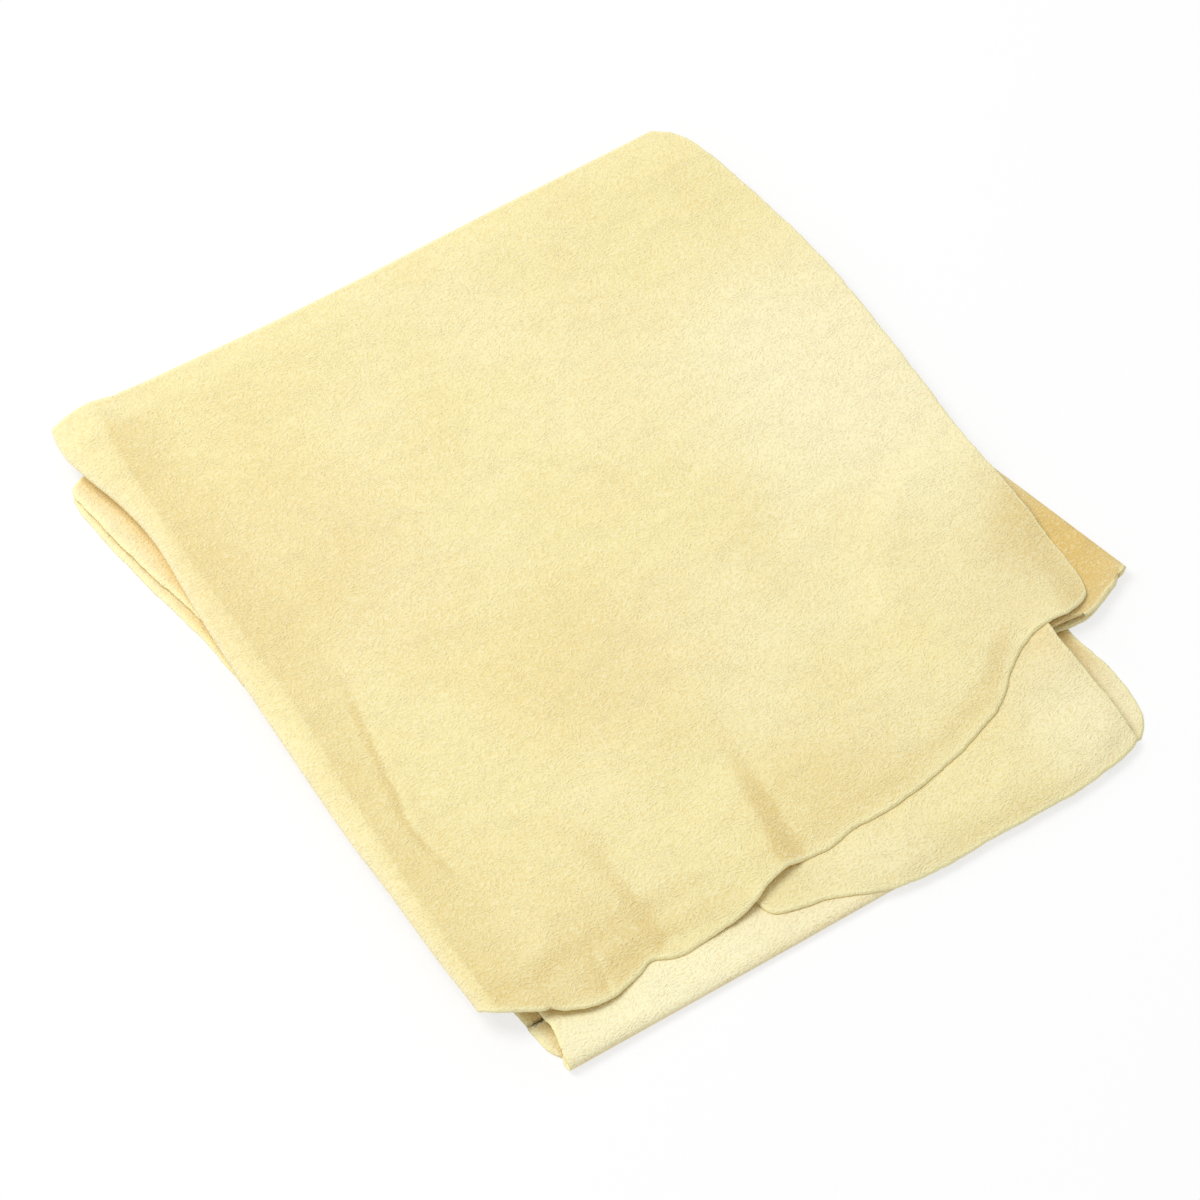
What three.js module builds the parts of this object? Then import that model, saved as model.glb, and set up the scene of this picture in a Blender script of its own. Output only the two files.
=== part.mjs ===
import * as THREE from 'three';

// One chamois skin folded into a flat packet. Millimetres, +Z up, the packet lies on the plane z = 0.
// X runs along the far edge from left to right, and Y from the near edge to the far edge.

// The packet
const packetWidth = 324;
const packetLength = 350;

// The skin
const skinThickness = 1.2;
const layerPitch = 2.1; // from the middle of one layer to the middle of the next
const splitGap = 0.3; // between a panel and the fold that carries it on

// The folds: how far each one stands out from the panels it joins, and how round its section is
const nearFoldDepth = 6;
const farFoldDepthLeft = 4.5;
const farFoldDepthRight = 6;
const legFoldDepth = 3.5;
const foldRoundness = 0.75;
const rollRoundness = 0.45;
const rollSkew = 0.47; // of the near end of the left roll, which is cut aslant
const rollSkewShare = 0.16; // of the roll's length, over which that goes away

// The lie of the layers: lifts above the plain stack
const rollLoft = 3; // of the top flap over the middle panel beside the left roll
const rollLoftReach = 80;
const rollLoftNearShare = 0.35; // of that loft at the near end of the roll
const rollLoftGrowth = 0.5; // share of the roll's length over which it grows to the whole loft
const rollCrest = 1.2; // of the ridge of the roll over that
const rollCrestReach = 13;
const nearLift = 0.6; // of the lower panel along the near fold
const nearLiftReach = 40;
const farLift = 1.5; // of the middle panel along the far fold
const farLiftReach = 45;
const cornerLift = 1.8; // of the lower panel at its near left corner
const cornerLiftReach = 45;
const legLift = 2.2; // of the lower panel over the hollow in front of its leg
const legLiftReach = 20;
const flapSpread = 45; // reach of the hill that the leg flap makes under the layers over it
const flapSlope = [0.08, 0.3]; // the parts of that hill's height between which the layers climb a whole step
const middleAir = 0.6; // under the middle panel
const endDroop = 2; // of the middle panel past the right end of the lower panel
const endDroopReach = 16;
const bulge = 3.4; // of the top flap where it arches over the tongue of the middle panel
const bulgeCrown = [0.72, 0.8]; // shares of its width between which it is highest
const bulgeFoot = 1.3; // share of its width at which it is down again
const sideLoft = 1.3; // of the top flap in front of the leg
const sideLoftReach = 26;
const drapeHeight = 0.5; // of the soft waves in the top flap
const drapeLength = 150;

// How finely each piece is divided, across and along
const topFlapCells = [22, 23];
const lowerPanelCells = [17, 22];
const middlePanelCells = [16, 19];
const bottomPanelCells = [12, 14];
const legFlapCells = [8, 8];
const foldCells = 8;
const leftFoldCells = 22;
const farFoldCells = 14;
const nearFoldCells = 16;
const legFoldCells = 8;

const chamoisColour = 0xe3cf9a;
const chamoisRoughness = 0.95;

const bottomHeight = skinThickness / 2;

// A place in the packet from its near left corner, as shares of the packet's width and length
const spot = (across, along) => new THREE.Vector2(
  (across - 0.5) * packetWidth,
  (along - 0.5) * packetLength,
);

const curve = (...places) => new THREE.SplineCurve(places.map(([across, along]) => spot(across, along)));

const straight = (from, to) => new THREE.LineCurve(spot(...from), spot(...to));

// An edge made of several curves in a row, each with its own number of cells, so that their joints are kept
function chain(...parts) {
  const total = parts.reduce((sum, [, cells]) => sum + cells, 0);
  return {
    getPointAt(share) {
      let place = share * total;
      let last = parts.length - 1;
      for (let i = 0; i < parts.length; i += 1) {
        if (place <= parts[i][1]) {
          last = i;
          break;
        }
        place -= parts[i][1];
      }
      const [line, cells] = parts[last];
      return line.getPointAt(Math.min(place / cells, 1));
    },
  };
}

// 0 up to the first edge, 1 from the second edge on, and smooth between
function rise(value, from, to) {
  const share = THREE.MathUtils.clamp((value - from) / (to - from), 0, 1);
  return share * share * (3 - 2 * share);
}

// A soft hill of height 1 around a place
function hill(x, y, centre, reach) {
  const away = ((x - centre.x) ** 2 + (y - centre.y) ** 2) / (reach * reach);
  return Math.exp(-away);
}

// Outlines in plan. Left and right edges run from near to far, near and far edges from left to right.
const rollRidge = curve(
  [0.066, 0.062], [0.0585, 0.2], [0.06, 0.36], [0.066, 0.5], [0.064, 0.6], [0.06, 0.8], [0.064, 0.9],
  [0.07, 0.975],
);
const rollSide = curve(
  [0.05, 0.062], [0.044, 0.16], [0.041, 0.26], [0.036, 0.37], [0.036, 0.6], [0.039, 0.7], [0.043, 0.79],
  [0.034, 0.855], [0.017, 0.91], [0.013, 0.945], [0.018, 0.975],
);
const topLeft = straight([0.118, 0.062], [0.096, 0.975]);
const topNear = curve(
  [0.118, 0.062], [0.163, 0.047], [0.207, 0.052], [0.25, 0.066], [0.277, 0.057], [0.319, 0.059],
  [0.363, 0.064], [0.415, 0.08], [0.466, 0.086], [0.528, 0.092], [0.618, 0.099], [0.686, 0.114],
  [0.751, 0.137], [0.799, 0.172], [0.852, 0.199], [0.899, 0.202], [0.935, 0.217], [0.941, 0.232],
);
const topRight = curve(
  [0.941, 0.232], [0.943, 0.254], [0.941, 0.346], [0.936, 0.437], [0.941, 0.535], [0.94, 0.733],
  [0.92, 0.878], [0.904, 0.955], [0.89, 0.989], [0.868, 1.006],
);
const topFar = curve([0.096, 0.975], [0.236, 0.977], [0.354, 0.98], [0.578, 0.991], [0.868, 1.006]);

const middleLeft = straight([0.1165, 0.078], [0.097, 0.956]);
const middleNear = curve(
  [0.1165, 0.078], [0.2, 0.09], [0.3, 0.098], [0.365, 0.093], [0.39, 0.075], [0.399, 0.051], [0.432, 0.042],
  [0.482, 0.03], [0.524, 0.0155], [0.6, 0.0095], [0.65, 0.0125], [0.79, 0.017], [0.83, 0.023], [0.877, 0.039],
);
const middleRight = curve(
  [0.877, 0.039], [0.871, 0.2], [0.876, 0.33], [0.89, 0.56], [0.89, 0.78], [0.87, 0.92], [0.827, 0.97],
);
const farFoldLine = straight([0.2, 0.9585], [0.827, 0.97]);
const middleFar = chain([straight([0.097, 0.956], [0.2, 0.9585]), 3], [farFoldLine, 13]);

const lowerLeft = curve(
  [0.104, 0.0185], [0.113, 0.055], [0.104, 0.21], [0.085, 0.42], [0.06, 0.6], [0.042, 0.692], [0.024, 0.763],
  [0.011, 0.829], [0.0, 0.894], [0.018, 0.912],
);
const lowerFar = chain(
  [curve([0.018, 0.912], [0.07, 0.921], [0.136, 0.943], [0.2, 0.9585]), 4],
  [farFoldLine, 13],
);
const legFoldLine = straight([0.985, 0.226], [0.931, 0.412]);
const lowerRight = chain(
  [curve([0.823, 0.0425], [0.82, 0.12], [0.838, 0.18], [0.858, 0.207]), 6],
  [curve([0.858, 0.207], [0.882, 0.206], [0.918, 0.196], [0.962, 0.211], [0.985, 0.226]), 4],
  [legFoldLine, 4],
  [curve([0.931, 0.412], [0.908, 0.56], [0.898, 0.78], [0.876, 0.92], [0.827, 0.97]), 8],
);
const lowerNear = straight([0.104, 0.0185], [0.823, 0.0425]);

const bottomLeft = curve(
  [0.104, 0.0185], [0.091, 0.093], [0.066, 0.36], [0.041, 0.61], [0.017, 0.745], [0.005, 0.814],
  [-0.001, 0.88], [0.012, 0.907],
);
const bottomFar = curve([0.012, 0.907], [0.19, 0.926], [0.5, 0.94], [0.832, 0.912]);
const bottomRight = curve(
  [0.885, 0.041], [0.906, 0.075], [0.908, 0.13], [0.896, 0.197], [0.88, 0.33], [0.86, 0.64], [0.832, 0.912],
);
const bottomNear = chain([lowerNear, 11], [straight([0.823, 0.0425], [0.885, 0.041]), 1]);

const flapLeft = curve([0.86, 0.2], [0.832, 0.29], [0.81, 0.385]);
const flapNear = curve([0.86, 0.2], [0.908, 0.197], [0.936, 0.201], [0.985, 0.226]);
const flapFar = straight([0.81, 0.385], [0.931, 0.412]);

// Heights of the middle of each layer over the plan
const cornerSpot = spot(0.1, 0.06);
const legSpot = spot(0.925, 0.2);
const flapMiddle = spot(0.895, 0.29);
const nearFoldSide = spot(0, 0.022).y;
const farFoldSide = spot(0, 0.96).y;
const lowerEnd = spot(0.825, 0.15);
const legSide = spot(0, 0.21).y;
const nearEnd = spot(0, 0.083).y;
const farEnd = spot(0, 0.97).y;
const bulgeStart = spot(0.253, 0.1);
const bulgeEnd = spot(0.445, 0.28);
const slopeStart = spot(0.783, 0.45);
const slopeEnd = spot(0.91, 0.293);
const slopeRise = spot(0.47, 0).x;

const bottomLayer = () => bottomHeight;

const flapLayer = () => bottomHeight + layerPitch;

function lowerLayer(x, y) {
  const overFlap = layerPitch * rise(hill(x, y, flapMiddle, flapSpread), ...flapSlope);
  const besideFold = nearLift * (1 - rise(y, nearFoldSide, nearFoldSide + nearLiftReach));
  const atCorner = cornerLift * hill(x, y, cornerSpot, cornerLiftReach);
  const atHollow = legLift * hill(x, y, legSpot, legLiftReach);
  return bottomHeight + layerPitch + overFlap + besideFold + atCorner + atHollow;
}

function middleLayer(x, y) {
  const besideFold = farLift * rise(y, farFoldSide - farLiftReach, farFoldSide);
  const beforeLeg = 1 - rise(y, lowerEnd.y, legSide);
  const pastEnd = endDroop * rise(x, lowerEnd.x, lowerEnd.x + endDroopReach) * beforeLeg;
  return lowerLayer(x, y) + layerPitch + besideFold + middleAir - pastEnd;
}

function rollHeight(x, y) {
  const along = (y - nearEnd) / (farEnd - nearEnd);
  const share = rollLoftNearShare + (1 - rollLoftNearShare) * rise(along, 0, rollLoftGrowth);
  const away = x - rollRidge.getPoint(THREE.MathUtils.clamp(along, 0, 1)).x;
  const loft = rollLoft * share * Math.exp(-((away / rollLoftReach) ** 2));
  return loft + rollCrest * Math.exp(-((away / rollCrestReach) ** 2));
}

function bulgeHeight(x, y) {
  const across = (x - bulgeStart.x) / (bulgeEnd.x - bulgeStart.x);
  const [crownStart, crownEnd] = bulgeCrown;
  const shape = rise(across, 0, crownStart) * (1 - rise(across, crownEnd, bulgeFoot));
  return bulge * shape * (1 - rise(y, bulgeStart.y, bulgeEnd.y));
}

function sideHeight(x, y) {
  const way = slopeEnd.clone().sub(slopeStart).normalize();
  const beyond = (y - slopeStart.y) * way.x - (x - slopeStart.x) * way.y;
  return sideLoft * (1 - rise(beyond, -sideLoftReach, sideLoftReach)) * rise(x, slopeRise, slopeEnd.x);
}

function topLayer(x, y) {
  const turn = 2 * Math.PI / drapeLength;
  const waves = drapeHeight * (1 + Math.sin(turn * x) * Math.cos(turn * y)) / 2;
  return middleLayer(x, y) + layerPitch + rollHeight(x, y) + bulgeHeight(x, y) + sideHeight(x, y) + waves;
}

// A panel: a patch stretched between its four edges and laid at its layer's height
function panel(left, right, near, far, cells, layer) {
  const [cellsAcross, cellsAlong] = cells;
  const [nearLeft, nearRight] = [near.getPointAt(0), near.getPointAt(1)];
  const [farLeft, farRight] = [far.getPointAt(0), far.getPointAt(1)];
  const rows = [];
  for (let j = 0; j <= cellsAlong; j += 1) {
    const along = j / cellsAlong;
    const atLeft = left.getPointAt(along);
    const atRight = right.getPointAt(along);
    const row = [];
    for (let i = 0; i <= cellsAcross; i += 1) {
      const across = i / cellsAcross;
      const atNear = near.getPointAt(across);
      const atFar = far.getPointAt(across);
      const mix = (key) => (1 - along) * atNear[key] + along * atFar[key]
        + (1 - across) * atLeft[key] + across * atRight[key]
        - (1 - across) * ((1 - along) * nearLeft[key] + along * farLeft[key])
        - across * ((1 - along) * nearRight[key] + along * farRight[key]);
      const x = mix('x');
      const y = mix('y');
      row.push(new THREE.Vector3(x, y, layer(x, y)));
    }
    rows.push(row);
  }
  return rows;
}

// A fold: a section swept along the edges of two panels.
// It runs straight out from the lower one, goes round and runs back to the upper one.
function fold(lowerEdge, upperEdge, shape, lowerAt, upperAt, cells) {
  const rows = [];
  for (let j = 0; j <= cells; j += 1) {
    const share = j / cells;
    const below = lowerEdge.getPointAt(share);
    const above = upperEdge.getPointAt(share);
    const outward = shape.outward(share);
    const run = shape.run(share);
    const at = (out, up) => below.clone().lerp(above, up).addScaledVector(outward, splitGap + out);
    const lowEnd = at(run, 0);
    const highEnd = at(run, 1);
    const low = lowerAt(lowEnd.x, lowEnd.y);
    const high = upperAt(highEnd.x, highEnd.y);
    const row = [];
    for (let i = 0; i <= foldCells; i += 1) {
      const angle = Math.PI * (i / foldCells - 0.5);
      const up = (1 + Math.sin(angle)) / 2;
      const round = Math.max(Math.cos(angle), 0) ** shape.roundness;
      const place = at(run + (shape.depth(share) - run) * round, up);
      row.push(new THREE.Vector3(place.x, place.y, low + up * (high - low)));
    }
    if (run > 0) {
      const lowSeam = at(0, 0);
      const highSeam = at(0, 1);
      row.unshift(new THREE.Vector3(lowSeam.x, lowSeam.y, lowerAt(lowSeam.x, lowSeam.y)));
      row.push(new THREE.Vector3(highSeam.x, highSeam.y, upperAt(highSeam.x, highSeam.y)));
    }
    rows.push(row);
  }
  return rows;
}

// The direction square to each place of a grid of points
function facing(rows, j, i) {
  const lastRow = rows.length - 1;
  const lastColumn = rows[0].length - 1;
  const across = rows[j][Math.min(i + 1, lastColumn)].clone().sub(rows[j][Math.max(i - 1, 0)]);
  const along = rows[Math.min(j + 1, lastRow)][i].clone().sub(rows[Math.max(j - 1, 0)][i]);
  return across.cross(along).normalize();
}

// A closed skin of even thickness around a grid of points
function skin(rows) {
  const rowCount = rows.length;
  const columnCount = rows[0].length;
  const positions = [];
  for (const side of [1, -1]) {
    rows.forEach((row, j) => row.forEach((place, i) => {
      const point = place.clone().addScaledVector(facing(rows, j, i), side * skinThickness / 2);
      positions.push(point.x, point.y, point.z);
    }));
  }
  const under = rowCount * columnCount;
  const index = (j, i) => j * columnCount + i;
  const faces = [];
  for (let j = 0; j + 1 < rowCount; j += 1) {
    for (let i = 0; i + 1 < columnCount; i += 1) {
      const [a, b, c, d] = [index(j, i), index(j, i + 1), index(j + 1, i + 1), index(j + 1, i)];
      faces.push(a, b, c, a, c, d);
      faces.push(under + a, under + c, under + b, under + a, under + d, under + c);
    }
  }
  const rim = [];
  for (let i = 0; i + 1 < columnCount; i += 1) rim.push(index(0, i));
  for (let j = 0; j + 1 < rowCount; j += 1) rim.push(index(j, columnCount - 1));
  for (let i = columnCount - 1; i > 0; i -= 1) rim.push(index(rowCount - 1, i));
  for (let j = rowCount - 1; j > 0; j -= 1) rim.push(index(j, 0));
  rim.forEach((here, place) => {
    const next = rim[(place + 1) % rim.length];
    faces.push(here, under + here, under + next, here, under + next, next);
  });
  const geometry = new THREE.BufferGeometry();
  geometry.setAttribute('position', new THREE.Float32BufferAttribute(positions, 3));
  geometry.setIndex(faces);
  geometry.computeVertexNormals();
  return geometry;
}

function piece(name, rows) {
  const material = new THREE.MeshStandardMaterial({
    color: chamoisColour,
    roughness: chamoisRoughness,
    metalness: 0,
  });
  const mesh = new THREE.Mesh(skin(rows), material);
  mesh.name = name;
  return mesh;
}

// The direction to the right of a line from one place to another, in plan
function rightOf(from, to) {
  const way = to.clone().sub(from).normalize();
  return new THREE.Vector2(way.y, -way.x);
}

// How each fold goes round, at a share of its length
function plainBend(line, depth) {
  const outward = rightOf(line.getPointAt(0), line.getPointAt(1));
  return { outward: () => outward, run: () => 0, depth, roundness: foldRoundness };
}

const nearBend = plainBend(lowerNear, () => nearFoldDepth);
const legBend = plainBend(legFoldLine, () => legFoldDepth);
const farFoldBack = new THREE.LineCurve(farFoldLine.v2, farFoldLine.v1);
const farBend = plainBend(
  farFoldBack,
  (share) => THREE.MathUtils.lerp(farFoldDepthLeft, farFoldDepthRight, rise(share, 0, 1)),
);
const alongRoll = topLeft.v2.clone().sub(topLeft.v1).normalize();
const towardsLeft = rightOf(topLeft.v2, topLeft.v1);
const rollBend = {
  outward(share) {
    const aslant = rollSkew * (1 - rise(share, 0, rollSkewShare));
    return towardsLeft.clone().addScaledVector(alongRoll, aslant);
  },
  run: (share) => topLeft.getPointAt(share).x - rollRidge.getPointAt(share).x,
  depth: (share) => topLeft.getPointAt(share).x - rollSide.getPointAt(share).x,
  roundness: rollRoundness,
};

const chamois = new THREE.Group();
chamois.name = 'chamois_leather';
chamois.add(
  piece('bottom_panel', panel(bottomLeft, bottomRight, bottomNear, bottomFar, bottomPanelCells, bottomLayer)),
  piece('near_fold', fold(lowerNear, lowerNear, nearBend, bottomLayer, lowerLayer, nearFoldCells)),
  piece('lower_panel', panel(lowerLeft, lowerRight, lowerNear, lowerFar, lowerPanelCells, lowerLayer)),
  piece('leg_flap', panel(flapLeft, legFoldLine, flapNear, flapFar, legFlapCells, flapLayer)),
  piece('leg_fold', fold(legFoldLine, legFoldLine, legBend, flapLayer, lowerLayer, legFoldCells)),
  piece('middle_panel', panel(middleLeft, middleRight, middleNear, middleFar, middlePanelCells, middleLayer)),
  piece('far_fold', fold(farFoldLine, farFoldLine, farBend, lowerLayer, middleLayer, farFoldCells)),
  piece('top_flap', panel(topLeft, topRight, topNear, topFar, topFlapCells, topLayer)),
  piece('left_fold', fold(middleLeft, topLeft, rollBend, middleLayer, topLayer, leftFoldCells)),
);

// The origin is the middle of the packet's footprint
const middle = new THREE.Box3().setFromObject(chamois).getCenter(new THREE.Vector3());
chamois.children.forEach((mesh) => mesh.geometry.translate(-middle.x, -middle.y, 0));

export default chamois;
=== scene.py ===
"""A chamois leather folded into a flat packet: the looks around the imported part.

Shapes are worked out in packet millimetres, the numbers that the part's own source uses, and turned into the
frame's metres when a mesh is made. X runs along the far edge from left to right, Y from near to far, Z up.
"""

import logging
import math
from collections.abc import Callable
from dataclasses import dataclass
from enum import Enum

import bpy
import numpy as np
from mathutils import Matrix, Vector


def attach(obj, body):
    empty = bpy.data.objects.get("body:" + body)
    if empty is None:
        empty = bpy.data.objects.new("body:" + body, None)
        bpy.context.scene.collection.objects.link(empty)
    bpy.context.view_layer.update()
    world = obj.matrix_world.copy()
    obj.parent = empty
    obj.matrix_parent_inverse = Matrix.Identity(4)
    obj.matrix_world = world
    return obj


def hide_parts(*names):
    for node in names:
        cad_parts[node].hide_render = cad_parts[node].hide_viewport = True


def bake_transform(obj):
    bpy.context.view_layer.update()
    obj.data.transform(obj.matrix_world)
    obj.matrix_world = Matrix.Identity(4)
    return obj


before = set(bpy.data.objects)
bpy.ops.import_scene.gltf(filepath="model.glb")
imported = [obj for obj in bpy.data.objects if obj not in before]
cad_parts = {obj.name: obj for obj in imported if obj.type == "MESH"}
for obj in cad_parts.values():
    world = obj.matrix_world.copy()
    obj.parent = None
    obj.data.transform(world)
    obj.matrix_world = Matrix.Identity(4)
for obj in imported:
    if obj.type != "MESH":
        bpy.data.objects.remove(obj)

LOG = logging.getLogger("chamois")
MILLIMETRE = 0.001

Place = tuple[float, float]
Span = tuple[float, float]
Colour = tuple[float, float, float]
Height = Callable[[np.ndarray, np.ndarray], np.ndarray]


@dataclass(frozen=True)
class Packet:
    """The folded packet's plan. A place is a share of its width and length, from its near left corner."""

    width: float = 324.0
    length: float = 350.0
    middle: Place = (-0.169, 0.841)

    def spot(self, across: float, along: float) -> np.ndarray:
        """Gives a place of the plan in millimetres.

        Args:
            across: Share of the width, from the left.
            along: Share of the length, from the near side.

        Returns:
            Its x and y.
        """
        return np.array([(across - 0.5) * self.width, (along - 0.5) * self.length])

    def to_frame(self, points: np.ndarray) -> np.ndarray:
        """Turns packet millimetres into the frame's metres.

        Args:
            points: Rows of x, y, z.

        Returns:
            The same rows, from the middle of the packet's footprint.
        """
        return (points - np.array([*self.middle, 0.0])) * MILLIMETRE


PACKET = Packet()


def rise(value: np.ndarray | float, start: np.ndarray | float, end: np.ndarray | float) -> np.ndarray:
    """Goes smoothly from 0 to 1.

    Args:
        value: Where it is asked for.
        start: Up to here it is 0.
        end: From here on it is 1.

    Returns:
        The share that is reached.
    """
    share = np.clip((np.asarray(value) - start) / (end - start), 0.0, 1.0)
    return share * share * (3.0 - 2.0 * share)


def hill(x: np.ndarray, y: np.ndarray, centre: np.ndarray, reach: float) -> np.ndarray:
    """Gives a soft hill of height 1.

    Args:
        x: Places across.
        y: Places along.
        centre: The hill's top.
        reach: How far away its height has gone down to a bit over a third.

    Returns:
        The height at each place.
    """
    return np.exp(-((x - centre[0]) ** 2 + (y - centre[1]) ** 2) / reach**2)


def lengths(points: np.ndarray) -> np.ndarray:
    """Gives the distance run at each point of a line, from its first point on."""
    steps = np.linalg.norm(np.diff(points, axis=0), axis=1)
    return np.concatenate([[0.0], np.cumsum(steps)])


def unit(vectors: np.ndarray) -> np.ndarray:
    """Brings vectors to length 1."""
    return vectors / np.linalg.norm(vectors, axis=-1, keepdims=True)


class Edge:
    """A line in plan that gives points at shares of its length."""

    SAMPLES_PER_SPAN = 40
    CUT_WOBBLE = 0.05
    CUT_WAVES = (23.0, 11.0, 6.7, 4.1)
    CUT_FADE = 6.0

    def __init__(self, points: np.ndarray) -> None:
        """Keeps the line.

        Args:
            points: Rows of x and y along it.
        """
        self.points = points
        run = lengths(points)
        self.length = float(run[-1])
        self.shares = run / run[-1]

    @classmethod
    def through(cls, *places: Place) -> "Edge":
        """Draws a cut through places of the packet, with the fine unevenness of a cut by hand."""
        return cls.smooth(*places)._cut_by_hand()

    @classmethod
    def smooth(cls, *places: Place) -> "Edge":
        """Draws a smooth line through places of the packet.

        Args:
            places: Shares of the packet's width and length.

        Returns:
            The line.
        """
        knots = np.array([PACKET.spot(*place) for place in places])
        padded = np.vstack([2 * knots[0] - knots[1], knots, 2 * knots[-1] - knots[-2]])
        share = np.linspace(0.0, 1.0, cls.SAMPLES_PER_SPAN, endpoint=False)[:, None]
        spans = []
        for before, start, end, after in zip(padded, padded[1:], padded[2:], padded[3:]):
            leave = (end - before) / 2
            reach = (after - start) / 2
            spans.append(
                (2 * share**3 - 3 * share**2 + 1) * start
                + (share**3 - 2 * share**2 + share) * leave
                + (3 * share**2 - 2 * share**3) * end
                + (share**3 - share**2) * reach
            )
        return cls(np.vstack([*spans, knots[-1:]]))

    @classmethod
    def straight(cls, start: Place, end: Place) -> "Edge":
        """Draws a straight line between two places of the packet."""
        return cls(np.array([PACKET.spot(*start), PACKET.spot(*end)]))

    def _cut_by_hand(self) -> "Edge":
        """Gives the edge the unevenness of a cut, which dies out at its two ends."""
        run = self.shares * self.length
        way = unit(np.gradient(self.points, axis=0))
        side = np.stack([way[:, 1], -way[:, 0]], axis=1)
        phase = self.points[0].sum()
        wobble = np.zeros_like(run)
        for wave in self.CUT_WAVES:
            wobble += math.sqrt(wave) * np.sin(2 * math.pi * run / wave + phase * wave)
        ends = rise(run, 0.0, self.CUT_FADE) * rise(self.length - run, 0.0, self.CUT_FADE)
        return Edge(self.points + side * (self.CUT_WOBBLE / 2 * wobble * ends)[:, None])

    def at(self, shares: np.ndarray) -> np.ndarray:
        """Gives points of the edge.

        Args:
            shares: Shares of its length, from 0 to 1.

        Returns:
            Rows of x and y.
        """
        return np.stack([np.interp(shares, self.shares, column) for column in self.points.T], axis=1)

    def along_at(self, x: np.ndarray) -> np.ndarray:
        """Gives how far along the packet the edge is, at places across it."""
        order = np.argsort(self.points[:, 0], kind="stable")
        return np.interp(x, self.points[order, 0], self.points[order, 1])

    def across_at(self, y: np.ndarray) -> np.ndarray:
        """Gives how far across the packet the edge is, at places along it."""
        order = np.argsort(self.points[:, 1], kind="stable")
        return np.interp(y, self.points[order, 1], self.points[order, 0])

    def divided(self, cells: int) -> np.ndarray:
        """Gives the points that divide the edge into cells of one length."""
        return self.at(np.linspace(0.0, 1.0, cells + 1))


def row_of(*parts: tuple[Edge, int]) -> np.ndarray:
    """Divides several edges in a row, each into its own number of cells.

    Args:
        parts: Each edge with its number of cells.

    Returns:
        The points from end to end, with the joints of the edges among them.
    """
    rows = [edge.divided(cells) for edge, cells in parts]
    return np.vstack([rows[0], *(row[1:] for row in rows[1:])])


@dataclass(frozen=True)
class Crease:
    """A line along which the skin stands up or sinks in."""

    places: tuple[Place, ...]
    height: float
    reach_left: float
    reach_right: float
    fade_start: float
    fade_end: float

    def __call__(self, x: np.ndarray, y: np.ndarray) -> np.ndarray:
        """Gives the crease's height.

        Args:
            x: Places across, in packet millimetres.
            y: Places along, in packet millimetres.

        Returns:
            How far it lifts the skin at each place.
        """
        line = np.array([PACKET.spot(*place) for place in self.places])
        run = lengths(line)
        fine = np.linspace(0.0, run[-1], 12 * len(line))
        points = np.stack([np.interp(fine, run, column) for column in line.T], axis=1)
        way = unit(np.gradient(points, axis=0))
        best = np.full(np.shape(x), np.inf)
        side = np.zeros(np.shape(x))
        place = np.zeros(np.shape(x))
        for point, ahead, at in zip(points, way, fine):
            dx, dy = x - point[0], y - point[1]
            away = np.hypot(dx, dy)
            nearer = away < best
            best = np.where(nearer, away, best)
            side = np.where(nearer, dx * ahead[1] - dy * ahead[0], side)
            place = np.where(nearer, at, place)
        reach = np.where(side > 0, self.reach_right, self.reach_left)
        ends = rise(place, -1e-6, self.fade_start) * rise(run[-1] - place, -1e-6, self.fade_end)
        return self.height * ends * np.exp(-((best / reach) ** 2))


@dataclass(frozen=True)
class Outlines:
    """The skin's cut edges and fold lines. Sides run from near to far, ends from left to right."""

    ridge: Edge
    roll_side: Edge
    top_left: Edge
    top_near: Edge
    top_right: Edge
    top_far: Edge
    middle_left: Edge
    middle_near: Edge
    middle_right: Edge
    middle_far_free: Edge
    far_fold: Edge
    lower_left: Edge
    lower_near: Edge
    lower_far_free: Edge
    lower_right_near: Edge
    lower_leg_end: Edge
    leg_fold: Edge
    lower_right_far: Edge
    bottom_left: Edge
    bottom_near_free: Edge
    bottom_right: Edge
    bottom_far: Edge
    flap_left: Edge
    flap_near: Edge
    flap_far: Edge


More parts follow.
